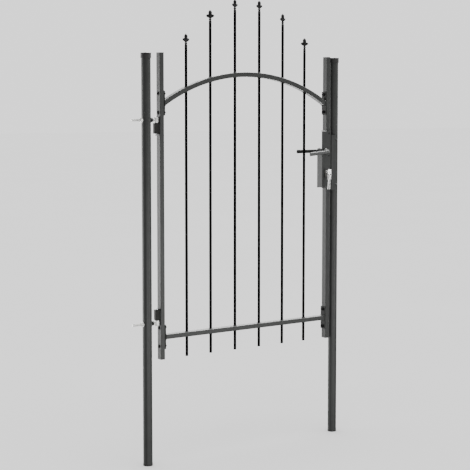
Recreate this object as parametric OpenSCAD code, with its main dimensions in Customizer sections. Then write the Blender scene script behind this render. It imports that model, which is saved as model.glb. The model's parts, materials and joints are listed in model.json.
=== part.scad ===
// Pedestrian garden gate: two round steel posts and one arched leaf with round bars and
// cast spear heads, hung on two adjustable eyebolts and shut by a narrow lever lock.
// Origin at the centre of the hinge post's foot, +X to the latch post, +Z up.
// The gate opens towards -Y.

/* [Posts] */
// Distance between the two post centres
post_span = 1000; // [990:1:1010]
// Outside diameter of a post
post_d = 40; // [38:1:42]
// Wall thickness of a post
post_wall = 2; // [1.5:0.5:3]
// Height of a post with its cap
post_h = 1750; // [1740:1:1800]
// Outside diameter of a post cap
cap_d = 44.6; // [44:0.2:48]
// Height of the skirt of a post cap
cap_skirt = 22; // [15:1:30]
// Thickness of the plug's rim under a post
foot_rim = 9; // [6:1:12]

/* [Leaf frame] */
// Height of the leaf's lower end above the posts' feet
leaf_foot = 450; // [440:1:460]
// Width of a stile seen from the front
stile_w = 20; // [20:1:22]
// Depth of a stile from front to back
stile_d = 30; // [28:1:32]
// Gap between the hinge post and the leaf
hinge_gap = 38.7; // [38:0.1:39.5]
// Gap between the leaf and the latch post
latch_gap = 13.3; // [13:0.1:14]
// Wall thickness of the leaf's tubes
tube_wall = 1.5; // [1:0.5:2]
// Side of the square tube of the arch and the bottom rail
rail_side = 20; // [18:1:20]
// Depth of the arch and the bottom rail, from front to back
rail_depth = 30; // [20:1:30]
// Height of the bottom rail's centre
rail_z = 546; // [540:1:560]
// Height of the arch's centreline where it meets a stile
arch_end_z = 1539; // [1530:1:1545]
// Rise of the arch from its ends to its crown
arch_rise = 125; // [115:1:130]
// Thickness of an end plate
plate_t = 5; // [4:0.5:6]
// Height of an end plate
plate_h = 105; // [100:1:110]
// Distance of a frame bolt from the middle of its end plate
bolt_reach = 40; // [38:1:42]

/* [Bars and spears] */
// Diameter of a vertical bar
bar_d = 12; // [10:1:12]
// Pitch of the bars, measured along the arch
bar_pitch = 130; // [120:1:132]
// Heights of the spear tips, from the stile to the middle of the leaf
spear_tips = [1833, 1938, 1990];
// Turn of each spear about its own bar, in degrees
spear_turns = [5, -30, 14, 8, 14, -22];
// Height of a spear head
spear_h = 58; // [56:1:62]
// Thickness of a spear's leaves
spear_t = 6; // [4:0.5:7]

/* [Hinges] */
// Diameter of a hinge pin
pin_d = 10; // [8:1:12]
// Distance from the leaf's edge to the hinge pin's axis
pin_reach = 10.7; // [10.5:0.1:11]
// Diameter of an eyebolt's shank
rod_d = 10; // [8:1:10]
// How far the shank stands out past the hinge post's centre
rod_out = 71; // [60:1:80]
// Height of the upper eyebolt
upper_eye_z = 1468; // [1466:1:1470]
// Height of the lower eyebolt
lower_eye_z = 608; // [607:1:609]
// Outside diameter of an eye
eye_d = 20; // [19:0.5:20.5]
// Height of an eye
eye_h = 24; // [22:1:25]
// Height of a hinge block
block_h = 44; // [40:1:46]
// Width of a hinge block from front to back
block_d = 20; // [18:1:22]

/* [Lock] */
// Depth of the lock case from front to back
case_d = 37; // [36:1:38]
// Height of the lock case's floor
case_z0 = 1153; // [1150:1:1156]
// Height of the lock case's top
case_z1 = 1331; // [1330:1:1334]
// Width of the lock case
case_w = 25; // [25:0.5:26]
// Thickness of the lock case's sheet
case_wall = 1.5; // [1:0.5:1.5]
// Height of the lower edge of the lock's cover plates
cover_z0 = 1151; // [1150:1:1153]
// Height of the upper edge of the front cover plate
cover_z1 = 1416; // [1410:1:1420]
// Thickness of a cover plate
cover_t = 3; // [2.5:0.5:3]
// Height of the levers' axis
lever_z = 1318; // [1316:0.5:1318]
// Height of the key's axis
key_z = 1226; // [1224:1:1228]
// Distance from the leaf's outer edge back to the levers' and the key's axis
backset = 29.7; // [29.5:0.1:30]
// Length of a lever from its axis to its tip
lever_l = 112; // [100:1:115]
// Distance of a lever grip's middle from the middle of the leaf
lever_y = 49; // [46:1:52]
// Fall of the front lever's tip below its axis
front_drop = 11; // [5:0.5:12]
// Fall of the back lever's tip below its axis
back_drop = 0; // [0:0.5:4]
// Height of the latch bolt's middle
latch_z = 1288; // [1287:1:1289]
// Travel of the latch bolt
latch_throw = 7; // [6:0.5:7]
// Height of the deadbolt's middle
dead_z = 1252; // [1251:1:1253]
// Travel of the deadbolt
dead_throw = 9; // [8:0.5:9]

/* [Keep] */
// Height of the keep's lower edge
keep_z0 = 1140; // [1130:1:1150]
// Height of the keep's upper edge
keep_z1 = 1394; // [1390:1:1400]
// Thickness of the keep's sheet
keep_t = 2.5; // [2:0.5:2.5]

/* [Hidden] */
$fn = 48;

anthracite = [0.10, 0.105, 0.10];
black = [0.03, 0.03, 0.03];
zinc = [0.72, 0.73, 0.74];
nickel = [0.85, 0.86, 0.86];
brass = [0.70, 0.60, 0.32];

post_r = post_d / 2;
cap_dome = 3;
cap_roof = 2;
leaf_x0 = post_r + hinge_gap;
leaf_x1 = post_span - post_r - latch_gap;
leaf_mid = (leaf_x0 + leaf_x1) / 2;
leaf_top = post_h;
end_cap_t = 4;
plate_x0 = leaf_x0 + stile_w;
plate_x1 = leaf_x1 - stile_w;
rail_x0 = plate_x0 + plate_t;
rail_x1 = plate_x1 - plate_t;
half_span = (rail_x1 - rail_x0) / 2;
arch_r = (half_span * half_span + arch_rise * arch_rise) / (2 * arch_rise);
arch_mid_z = arch_end_z + arch_rise - arch_r;
tube_corner = 2;

bar_gap = 0.2;
bar_count = 6;
spear_socket = 9;
spigot_d = 8;
body_foot = spear_h - 33;
bead_z = spear_h - 44;
neck_d = 9;

bolt_d = 8;
bolt_hole = 8.4;
bolt_head_d = 16;
bolt_head_h = 5;
nut_af = 13;
nut_h = 6.5;
bolt_tail = 4;

pin_x = leaf_x0 - pin_reach;
eye_bore = pin_d + 0.12;
rod_hole = rod_d + 0.6;
rod_nut_af = 17;
rod_nut_h = 8;
washer_d = 21;
washer_t = 2;
block_gap = 1;
block_w = pin_reach + 10;
pin_tail = 9;
upper_block_z = upper_eye_z - eye_h / 2 - block_gap - block_h;
lower_block_z = lower_eye_z + eye_h / 2 + block_gap;

stile_x = leaf_x1 - stile_w / 2;
axis_x = leaf_x1 - backset;
case_x1 = leaf_x1 - stile_w;
case_x0 = case_x1 - case_w;
case_y = case_d / 2;
front_cover_w = 50.4;
back_cover_w = 45.4;
cover_y = case_y + cover_t;
cover_screw_d = 5;
cover_screw_z = [cover_z0 + 12, cover_z0 + 149, cover_z1 - 14];
lip_z = cover_z1 - 7;
lip_t = 2;
cover_corner = 2;
faceplate_t = 2;
faceplate_d = 20;
faceplate_z0 = dead_z - 62;
faceplate_z1 = latch_z + 52;
faceplate_screw_z = [faceplate_z0 + 7, faceplate_z1 - 7];
small_screw_d = 4;
cylinder_screw_z = key_z - 19;
cylinder_screw_hole = 4.8;
face_x = leaf_x1 + faceplate_t;
bolt_slack = 0.3;
latch_h = 16;
latch_d = 12;
dead_h = 20;
dead_d = 8;
arm_w = 5;
arm_r = 11;
lug_t = 1.6;
spindle_side = 8;
follower_r = 8;
hub_r = 9;
rose_r = 16;
rose_h = 16;
grip_h = 17;
grip_t = 11;
grip_corner = 4.5;
hub_base = cover_y + 0.5;
barrel_r = 8.5;
cylinder_tail = 24.5;
cylinder_web = 10;
cylinder_end = cover_y + 3;
plug_r = 6.5;
plug_gap = 0.08;
cam_y = 4.6;
cam_r = 12.4;
cam_slack = 0.5;
key_t = 2.2;
blade_h = 8;
blade_l = 26;
neck_l = 13.5;
bow_w = 25;
bow_l = 25;
bow_hole = 6;
bow_hole_in = 12.5;
bow_y = -cylinder_end - neck_l - bow_l + bow_hole_in;
ring_r = 11.8;
ring_wire = 1.6;
ring_drop = (bow_hole - ring_wire) / 2 - 0.5;
ring_z = key_z - ring_drop - ring_r;
spare_z = ring_z - ring_r - ring_drop;
spare_turn = -12;
spare_side = [1.5, -2.6];
spare_lift = [0, 0.3];
spare_lean = [0, 6];

keep_x0 = leaf_x1 + 3.5;
keep_lip_w = 7.5;
keep_lip_y = cover_y + 0.7;
keep_screw_z = [keep_z0 + 24, keep_z1 - 24];
keep_screw_d = 6;

// ---------------------------------------------------------------- shared shapes

// Rectangle about the origin with round corners, exact arcs.
module round_rect(w, d, r) {
  square([w - 2 * r, d], center = true);
  square([w, d - 2 * r], center = true);
  for (x = [-1, 1], y = [-1, 1])
    translate([x * (w / 2 - r), y * (d / 2 - r)]) circle(r);
}

// Section of a hollow tube with round corners.
module tube_section(w, d, wall, r) {
  difference() {
    round_rect(w, d, r);
    round_rect(w - 2 * wall, d - 2 * wall, max(r - wall, 0.4));
  }
}

// Cylinder along X from x0 to x1.
module rod_x(x0, x1, d) {
  translate([x0, 0, 0]) rotate([0, 90, 0]) cylinder(d = d, h = x1 - x0);
}

// Cylinder along Y from y0 to y1.
module rod_y(y0, y1, d) {
  translate([0, y0, 0]) rotate([-90, 0, 0]) cylinder(d = d, h = y1 - y0);
}

// Box between two corners.
module block(a, b) {
  translate(a) cube(b - a);
}

// Plate in the YZ plane with round corners, starting at X = 0.
module plate_yz(t, d, h, r) {
  rotate([90, 0, 90]) linear_extrude(t) round_rect(d, h, r);
}

// Plate in the XZ plane with round corners, from Y = 0 to Y = t.
module plate_xz(w, t, h, r) {
  rotate([-90, 0, 0]) linear_extrude(t) round_rect(w, h, r);
}

// Shallow domed head on the plane Z = 0.
module dome(d, h) {
  r = (d * d / 4 + h * h) / (2 * h);
  intersection() {
    translate([0, 0, h - r]) sphere(r, $fn = 96);
    cylinder(d = d + 2, h = h + 1);
  }
}

// Hexagon nut on Z = 0 with a plain bore.
module nut(af, h, bore) {
  difference() {
    cylinder(d = af / cos(30), h = h, $fn = 6);
    translate([0, 0, -1]) cylinder(d = bore, h = h + 2);
  }
}

// ---------------------------------------------------------------- posts

module post_tube() {
  translate([0, 0, foot_rim])
    linear_extrude(post_h - foot_rim - cap_dome - cap_roof)
      difference() {
        circle(d = post_d, $fn = 96);
        circle(d = post_d - 2 * post_wall, $fn = 96);
      }
}

module hinge_post() {
  color(anthracite)
    difference() {
      post_tube();
      for (z = [upper_eye_z, lower_eye_z])
        translate([0, 0, z]) rod_x(-post_r - 1, post_r + 1, rod_hole);
    }
}

module latch_post() {
  color(anthracite)
    translate([post_span, 0, 0])
      difference() {
        post_tube();
        for (z = keep_screw_z)
          translate([0, 0, z]) rod_y(-post_r - 1, 0, keep_screw_d + 0.4);
      }
}

// Push-on cap: a skirt outside the tube and a shallow domed top.
module post_cap() {
  z0 = post_h - cap_skirt - cap_dome;
  color(black)
    difference() {
      union() {
        translate([0, 0, z0]) cylinder(d = cap_d, h = cap_skirt, $fn = 96);
        translate([0, 0, z0 + cap_skirt]) dome(cap_d, cap_dome);
      }
      translate([0, 0, z0 - 1])
        cylinder(d = post_d + 0.2, h = cap_skirt - cap_roof + 1, $fn = 96);
    }
}

module hinge_post_cap() {
  post_cap();
}

module latch_post_cap() {
  translate([post_span, 0, 0]) post_cap();
}

// Foot plug: a rim under the tube and a spigot inside it.
module post_foot() {
  color(black) {
    cylinder(d = post_d + 1, h = foot_rim, $fn = 96);
    cylinder(d = post_d - 2 * post_wall - 0.2, h = foot_rim + 22, $fn = 96);
  }
}

module hinge_post_foot() {
  post_foot();
}

module latch_post_foot() {
  translate([post_span, 0, 0]) post_foot();
}

// ---------------------------------------------------------------- eyebolts

module eyebolt(z) {
  color(zinc)
    translate([0, 0, z])
      difference() {
        union() {
          rod_x(-rod_out, pin_x - eye_d / 4, rod_d);
          translate([pin_x, 0, -eye_h / 2]) cylinder(d = eye_d, h = eye_h);
        }
        translate([pin_x, 0, -eye_h / 2 - 1]) cylinder(d = eye_bore, h = eye_h + 2);
      }
}

module upper_eyebolt() {
  eyebolt(upper_eye_z);
}

module lower_eyebolt() {
  eyebolt(lower_eye_z);
}

module eyebolt_nuts() {
  color(zinc)
    for (z = [upper_eye_z, lower_eye_z], side = [0, 1])
      translate([0, 0, z])
        mirror([side, 0, 0])
          translate([post_r + washer_t, 0, 0])
            rotate([0, 90, 0]) nut(rod_nut_af, rod_nut_h, rod_d + 0.2);
}

module eyebolt_washers() {
  color(zinc)
    for (z = [upper_eye_z, lower_eye_z], side = [0, 1])
      translate([0, 0, z])
        mirror([side, 0, 0])
          difference() {
            rod_x(post_r, post_r + washer_t, washer_d);
            rod_x(post_r - 1, post_r + washer_t + 1, rod_hole);
          }
}

// ---------------------------------------------------------------- keep

// Folded strike: a flange screwed to the post's front, a web across the gap with the two
// bolt holes, and a lip that stops the leaf behind its back cover.
module keep() {
  y0 = -post_r - keep_t;
  x_end = post_span + 6;
  color(anthracite)
    difference() {
      union() {
        block([keep_x0, y0, keep_z0], [x_end, -post_r, keep_z1]);
        block([keep_x0, y0, keep_z0], [keep_x0 + keep_t, keep_lip_y + keep_t, keep_z1]);
        block(
          [keep_x0 - keep_lip_w, keep_lip_y, keep_z0],
          [keep_x0 + keep_t, keep_lip_y + keep_t, keep_z1]
        );
      }
      block(
        [keep_x0 - 1, -latch_d / 2 - 1, latch_z - latch_h / 2 - 1],
        [keep_x0 + keep_t + 1, latch_d / 2 + 1, latch_z + latch_h / 2 + 1]
      );
      block(
        [keep_x0 - 1, -dead_d / 2 - 1, dead_z - dead_h / 2 - 1],
        [keep_x0 + keep_t + 1, dead_d / 2 + 1, dead_z + dead_h / 2 + 1]
      );
      for (z = keep_screw_z)
        translate([post_span, 0, z]) rod_y(y0 - 1, -post_r + 1, keep_screw_d + 0.4);
    }
}

module keep_screws() {
  color(anthracite)
    for (z = keep_screw_z)
      translate([post_span, -post_r - keep_t, z]) {
        rotate([90, 0, 0]) dome(11, 3.2);
        rod_y(0, 14, keep_screw_d);
      }
}

// ---------------------------------------------------------------- leaf frame

module stile_tube(x) {
  translate([x, 0, leaf_foot + end_cap_t])
    linear_extrude(leaf_top - leaf_foot - 2 * end_cap_t)
      tube_section(stile_w, stile_d, tube_wall, tube_corner);
}

// Holes for the frame bolts through both walls of a stile or through an end plate.
module bolt_holes(x0, x1) {
  for (mid = [arch_end_z, rail_z], side = [-1, 1])
    translate([0, 0, mid + side * bolt_reach]) rod_x(x0, x1, bolt_hole);
}

module hinge_stile() {
  color(anthracite)
    difference() {
      stile_tube(leaf_x0 + stile_w / 2);
      bolt_holes(leaf_x0 - 1, plate_x0 + 1);
    }
}

module lock_stile() {
  color(anthracite)
    difference() {
      stile_tube(stile_x);
      bolt_holes(plate_x1 - 1, leaf_x1 + 1);
      bolt_slot(latch_d, latch_h, latch_z);
      bolt_slot(dead_d, dead_h, dead_z);
      block(
        [plate_x1 - 1, -cam_y - cam_slack, key_z - cam_r - cam_slack],
        [plate_x1 + tube_wall + 1, cam_y + cam_slack, key_z + cam_r + cam_slack]
      );
      for (z = cover_screw_z)
        translate([stile_x, 0, z]) rod_y(-stile_d, stile_d, cover_screw_d + 0.5);
      for (z = faceplate_screw_z)
        translate([0, 0, z]) rod_x(stile_x, leaf_x1 + 1, small_screw_d + 0.6);
      translate([0, 0, cylinder_screw_z]) rod_x(plate_x1 - 1, leaf_x1 + 1, cylinder_screw_hole);
    }
}

// Slot for a lock bolt through the lock stile.
module bolt_slot(d, h, z) {
  block(
    [plate_x1 - 1, -d / 2 - bolt_slack, z - h / 2 - bolt_slack],
    [leaf_x1 + faceplate_t + 1, d / 2 + bolt_slack, z + h / 2 + bolt_slack]
  );
}

// End plug of a stile: a flange over the tube's end and a spigot inside it.
module end_plug() {
  linear_extrude(end_cap_t) round_rect(stile_w, stile_d, tube_corner);
  translate([0, 0, -14])
    linear_extrude(14 + 1)
      round_rect(stile_w - 2 * tube_wall - 0.2, stile_d - 2 * tube_wall - 0.2, 0.6);
}

module stile_caps() {
  color(black)
    for (x = [leaf_x0 + stile_w / 2, stile_x])
      translate([x, 0, leaf_top - end_cap_t]) end_plug();
}

module stile_plugs() {
  color(black)
    for (x = [leaf_x0 + stile_w / 2, stile_x])
      translate([x, 0, leaf_foot + end_cap_t]) mirror([0, 0, 1]) end_plug();
}

// Angle of a bar from the leaf's middle, seen from the arch's centre.
function bar_angle(i) = (i - (bar_count - 1) / 2) * bar_pitch / arch_r * 180 / PI;
function bar_x(i) = leaf_mid + arch_r * sin(bar_angle(i));
function spear_tip(i) = spear_tips[min(i, bar_count - 1 - i)];

module bar_holes(z0, z1) {
  for (i = [0 : bar_count - 1])
    translate([bar_x(i), 0, z0]) cylinder(d = bar_d + 2 * bar_gap, h = z1 - z0);
}

module top_arch() {
  sweep = 2 * asin(half_span / arch_r) + 4;
  color(anthracite)
    difference() {
      intersection() {
        translate([leaf_mid, 0, arch_mid_z])
          rotate([90, 0, 0])
            rotate_extrude(angle = sweep, start = 90 - sweep / 2, $fn = 360)
              translate([arch_r, 0]) tube_section(rail_side, rail_depth, tube_wall, tube_corner);
        block([rail_x0, -rail_depth, arch_end_z - 60], [rail_x1, rail_depth, arch_end_z + arch_rise + 60]);
      }
      bar_holes(arch_end_z - 40, arch_end_z + arch_rise + 40);
    }
}

module bottom_rail() {
  color(anthracite)
    difference() {
      translate([rail_x0, 0, rail_z])
        rotate([90, 0, 90])
          linear_extrude(rail_x1 - rail_x0)
            tube_section(rail_depth, rail_side, tube_wall, tube_corner);
      bar_holes(rail_z - rail_side, rail_z + rail_side);
    }
}

module end_plate(x, z) {
  color(anthracite)
    difference() {
      translate([x, 0, z]) plate_yz(plate_t, stile_d, plate_h, 3);
      bolt_holes(x - 1, x + plate_t + 1);
    }
}

module arch_plate_left() {
  end_plate(plate_x0, arch_end_z);
}

module arch_plate_right() {
  end_plate(plate_x1 - plate_t, arch_end_z);
}

module rail_plate_left() {
  end_plate(plate_x0, rail_z);
}

module rail_plate_right() {
  end_plate(plate_x1 - plate_t, rail_z);
}

// Places its children at the eight frame bolts, with +X pointing from the head inwards.
module at_frame_bolts() {
  for (mid = [arch_end_z, rail_z], side = [-1, 1]) {
    translate([leaf_x0, 0, mid + side * bolt_reach]) children();
    translate([leaf_x1, 0, mid + side * bolt_reach]) mirror([1, 0, 0]) children();
  }
}

module frame_bolts() {
  color(black)
    at_frame_bolts() {
      rotate([0, -90, 0]) dome(bolt_head_d, bolt_head_h);
      rod_x(0, stile_w + plate_t + nut_h + bolt_tail, bolt_d);
    }
}

module frame_nuts() {
  color(black)
    at_frame_bolts()
      translate([stile_w + plate_t, 0, 0])
        rotate([0, 90, 0]) nut(nut_af, nut_h, bolt_d + 0.2);
}

// ---------------------------------------------------------------- bars and spears

// A bar ends in a thinner spigot that its spear sits on.
module bar(i) {
  shoulder = spear_tip(i) - spear_h;
  color(anthracite)
    translate([bar_x(i), 0, leaf_foot]) {
      cylinder(d = bar_d, h = shoulder - leaf_foot);
      cylinder(d = spigot_d, h = shoulder + spear_socket - 1 - leaf_foot);
    }
}

// Point at t on a cubic curve through four control points.
function curve(p, t) =
  pow(1 - t, 3) * p[0] + 3 * pow(1 - t, 2) * t * p[1]
  + 3 * (1 - t) * t * t * p[2] + pow(t, 3) * p[3];
function curve_points(p, n) = [for (k = [0 : n]) curve(p, k / n)];

// Radius of a spear's round body and its height, from the tip down to the neck.
function body_edge() = concat(
  [[0, spear_h]],
  curve_points([[0.3, spear_h - 0.4], [3.2, spear_h - 3.5], [6.6, spear_h - 7.5], [6.6, spear_h - 12.5]], 6),
  curve_points([[6.5, spear_h - 14], [6.4, spear_h - 17], [6, spear_h - 21], [5.6, spear_h - 25]], 4),
  [[4.2, body_foot], [0, body_foot]]
);

// Right half of the outline of a spear's side leaves.
function leaf_edge() = concat(
  [[0, spear_h - 20], [5, spear_h - 19.5]],
  curve_points([[6, spear_h - 19], [8, spear_h - 18.2], [9.5, spear_h - 18], [12, spear_h - 18.2]], 4),
  curve_points([[12.6, spear_h - 18.3], [15.4, spear_h - 18.6], [17.2, spear_h - 23], [14.2, spear_h - 26]], 6),
  curve_points([[13.4, spear_h - 26.8], [10, spear_h - 29.6], [6, spear_h - 30.5], [4.2, spear_h - 36]], 6)
);

module leaf_outline() {
  edge = leaf_edge();
  last = len(edge) - 1;
  polygon(concat(edge, [for (k = [last : -1 : 1]) [-edge[k][0], edge[k][1]]]));
}

module spear(i) {
  color(anthracite)
    translate([bar_x(i), 0, spear_tip(i) - spear_h])
      rotate([0, 0, spear_turns[i]])
        difference() {
          union() {
            rotate([90, 0, 0])
              translate([0, 0, -spear_t / 2]) linear_extrude(spear_t) leaf_outline();
            rotate_extrude() polygon(body_edge());
            cylinder(d = neck_d, h = body_foot + 3);
            cylinder(d = bar_d, h = spear_socket + 1);
            translate([0, 0, bead_z]) bead(neck_d + 4, 6);
          }
          translate([0, 0, -1]) cylinder(d = spigot_d + 0.1, h = spear_socket);
        }
}

// Round bead of diameter d and height h, standing on Z = 0.
module bead(d, h) {
  rotate_extrude() {
    square([d / 2 - h / 2, h]);
    intersection() {
      translate([d / 2 - h / 2, h / 2]) circle(h / 2);
      square([d, h]);
    }
  }
}

module bar_1() {
  bar(0);
}

module bar_2() {
  bar(1);
}

module bar_3() {
  bar(2);
}

module bar_4() {
  bar(3);
}

module bar_5() {
  bar(4);
}

module bar_6() {
  bar(5);
}

module spear_1() {
  spear(0);
}

module spear_2() {
  spear(1);
}

module spear_3() {
  spear(2);
}

module spear_4() {
  spear(3);
}

module spear_5() {
  spear(4);
}

module spear_6() {
  spear(5);
}

// ---------------------------------------------------------------- hinge blocks and pins

module hinge_block(z) {
  color(anthracite)
    difference() {
      translate([leaf_x0 - block_w / 2, 0, z])
        linear_extrude(block_h) round_rect(block_w, block_d, 2);
      translate([pin_x, 0, z - 1]) cylinder(d = pin_d + 0.2, h = block_h + 2);
    }
}

module upper_hinge_block() {
  hinge_block(upper_block_z);
}

module lower_hinge_block() {
  hinge_block(lower_block_z);
}

// Pin from z0 to z1 with a domed end.
module hinge_pin(z0, z1) {
  color(zinc)
    translate([pin_x, 0, z0]) {
      cylinder(d = pin_d, h = z1 - z0 - 1.5);
      translate([0, 0, z1 - z0 - 1.5]) dome(pin_d, 1.5);
    }
}

module upper_hinge_pin() {
  hinge_pin(upper_block_z - pin_tail, upper_eye_z + eye_h / 2 + 2.5);
}

module lower_hinge_pin() {
  hinge_pin(lower_eye_z - eye_h / 2 - 1, lower_block_z + block_h + 7);
}

// ---------------------------------------------------------------- lock

// Outline of the profile cylinder about the key's axis, grown by g.
module cylinder_profile(g) {
  circle(barrel_r + g);
  translate([-cylinder_web / 2 - g, -cylinder_tail - g])
    square([cylinder_web + 2 * g, cylinder_tail + g]);
  translate([0, -cylinder_tail + cylinder_web / 2]) circle(cylinder_web / 2 + g);
}

// The profile as a bar along Y from y0 to y1.
module cylinder_bar(y0, y1, g) {
  translate([axis_x, y1, key_z])
    rotate([90, 0, 0]) linear_extrude(y1 - y0) cylinder_profile(g);
}

// Sheet box welded to the stile, open on the stile's side.
module lock_case() {
  w = case_wall;
  color(anthracite)
    difference() {
      block([case_x0, -case_y, case_z0], [case_x1, case_y, case_z1]);
      block([case_x0 + w, -case_y + w, case_z0 + w], [case_x1 + 1, case_y - w, case_z1 - w]);
      translate([axis_x, 0, lever_z]) rod_y(-case_d, case_d, 2 * follower_r + 2);
      cylinder_bar(-case_d, case_d, 0.3);
    }
}

module lock_faceplate() {
  mid = (faceplate_z0 + faceplate_z1) / 2;
  color(zinc)
    difference() {
      translate([leaf_x1, 0, mid])
        plate_yz(faceplate_t, faceplate_d, faceplate_z1 - faceplate_z0, 4);
      bolt_slot(latch_d, latch_h, latch_z);
      bolt_slot(dead_d, dead_h, dead_z);
      for (z = faceplate_screw_z)
        translate([0, 0, z]) rod_x(leaf_x1 - 1, face_x + 1, small_screw_d + 0.6);
      translate([0, 0, cylinder_screw_z]) rod_x(leaf_x1 - 1, face_x + 1, cylinder_screw_hole);
    }
}

module faceplate_screws() {
  color(zinc)
    for (z = faceplate_screw_z)
      translate([0, 0, z]) {
        rod_x(leaf_x1 - 9, face_x + 0.1, small_screw_d);
        translate([face_x, 0, 0]) rotate([0, 90, 0]) dome(8, 1);
      }
}

// Cover plate over the case and the stile, seen from the front, up to the height z1.
module cover(w, z1, screws) {
  x0 = leaf_x1 + 0.3 - w;
  mid = (cover_z0 + z1) / 2;
  difference() {
    union() {
      translate([x0 + w / 2, -cover_y, mid])
        plate_xz(w, cover_t, z1 - cover_z0, cover_corner);
      for (z = screws)
        translate([stile_x, 0, z]) rod_y(-case_y - 0.1, -stile_d / 2, 10);
    }
    translate([axis_x, 0, lever_z]) rod_y(-cover_y - 1, -case_y + 1, 2 * follower_r);
    cylinder_bar(-cover_y - 1, -case_y + 1, 0.3);
    for (z = screws)
      translate([stile_x, 0, z]) rod_y(-cover_y - 1, 0, cover_screw_d + 0.5);
    block([x0 - 1, -cover_y - 1, lip_z], [case_x1, 0, cover_z1 + 1]);
  }
}

// Slanted lip that closes the front cover's top beside the stile.
module cover_lip() {
  back_y = -stile_d / 2;
  rise = cover_y + back_y;
  translate([leaf_x1 + 0.3 - front_cover_w, 0, 0])
    rotate([90, 0, 90]) linear_extrude(case_x1 - leaf_x1 - 0.3 + front_cover_w)
      polygon([
        [-cover_y, lip_z - 0.1], [-cover_y, lip_z], [back_y, lip_z + rise],
        [back_y, lip_z + rise - 1.4 * lip_t], [-cover_y + cover_t, lip_z - 0.1]
      ]);
}

module front_cover() {
  color(anthracite) {
    cover(front_cover_w, cover_z1, cover_screw_z);
    cover_lip();
  }
}

module back_cover() {
  color(anthracite)
    mirror([0, 1, 0]) cover(back_cover_w, case_z1, [cover_screw_z[0], cover_screw_z[1]]);
}

// Rivet-headed screws: two through both covers, and the top one through the stile alone.
module cover_screws() {
  color(anthracite)
    for (k = [0 : 2])
      translate([stile_x, 0, cover_screw_z[k]]) {
        y1 = k < 2 ? cover_y : stile_d / 2;
        rod_y(-cover_y - 0.1, y1 + 0.1, cover_screw_d);
        translate([0, -cover_y, 0]) rotate([90, 0, 0]) dome(9, 1.8);
        translate([0, y1, 0]) rotate([-90, 0, 0]) dome(9, 1.8);
      }
}

// Profile cylinder with a gap in its middle for the cam.
module cylinder_body() {
  color(brass) {
    translate([axis_x, 0, key_z])
      difference() {
        rod_y(cam_y + 0.6, cylinder_end + 0.4, 2 * plug_r);
        keyway(cam_y + 6, cylinder_end + 1);
      }
    difference() {
      cylinder_bar(-cylinder_end, cylinder_end, 0);
      translate([axis_x, 0, key_z]) {
        rod_y(-cylinder_end - 1, cylinder_end + 1, 2 * (plug_r + plug_gap));
        rod_y(-cam_y - 0.3, cam_y + 0.3, 2 * cam_r + 1);
      }
      translate([0, 0, cylinder_screw_z])
        rod_x(axis_x - 20, axis_x + 20, cylinder_screw_hole);
    }
  }
}

// Upright slot for the key's blade from y0 to y1, about the key's axis.
module keyway(y0, y1) {
  block([-key_t / 2 - 0.2, y0, -blade_h / 2 - 0.3], [key_t / 2 + 0.2, y1, blade_h / 2 + 0.3]);
}

module cylinder_screw() {
  color(zinc)
    translate([0, 0, cylinder_screw_z]) rod_x(axis_x - 8, face_x, small_screw_d + 0.4);
}

// Lever: a flared neck on the spindle and a flattened grip towards the hinge side.
module lever(drop) {
  grip_end = lever_l - grip_h / 2;
  translate([axis_x, -lever_y, lever_z]) {
    rod_y(-grip_t / 2, lever_y - hub_base, 2 * hub_r);
    translate([0, lever_y - hub_base, 0])
      rotate([90, 0, 0]) cylinder(r1 = rose_r, r2 = hub_r, h = rose_h);
    rotate([0, -asin(drop / lever_l), 0]) {
      rotate([0, -90, 0]) linear_extrude(grip_end) round_rect(grip_h, grip_t, grip_corner);
      translate([-grip_end, 0, 0]) rod_y(-grip_t / 2, grip_t / 2, grip_h);
    }
  }
}

module front_lever() {
  color(anthracite)
    difference() {
      lever(front_drop);
      spindle_hole();
    }
}

module back_lever() {
  color(anthracite)
    mirror([0, 1, 0])
      difference() {
        lever(back_drop);
        spindle_hole();
      }
}

module spindle_hole() {
  s = spindle_side + 0.2;
  translate([axis_x - s / 2, -lever_y + 6, lever_z - s / 2]) cube([s, lever_y, s]);
}

module spindle() {
  color(zinc)
    translate([axis_x - spindle_side / 2, -lever_y + 7, lever_z - spindle_side / 2])
      cube([spindle_side, 2 * (lever_y - 7), spindle_side]);
}

// Follower: a disc on the spindle with one upright arm that draws the latch back.
module follower() {
  s = spindle_side + 0.1;
  color(zinc)
    difference() {
      translate([axis_x, 0, lever_z]) {
        rod_y(-5, 5, 2 * follower_r);
        block([-arm_w / 2, -5, 0], [arm_w / 2, 5, arm_r]);
      }
      translate([axis_x - s / 2, -6, lever_z - s / 2]) cube([s, 12, s]);
    }
}

// Return spring: three turns round the spindle, beside the follower.
module return_spring() {
  wire = 1.8;
  color(zinc)
    translate([axis_x, 0, lever_z])
      for (k = [0 : 2])
        translate([0, -8 - k * (wire + 0.1), 0])
          rotate([90, 0, 0]) rotate_extrude() translate([7.6, 0]) circle(d = wire);
}

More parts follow.
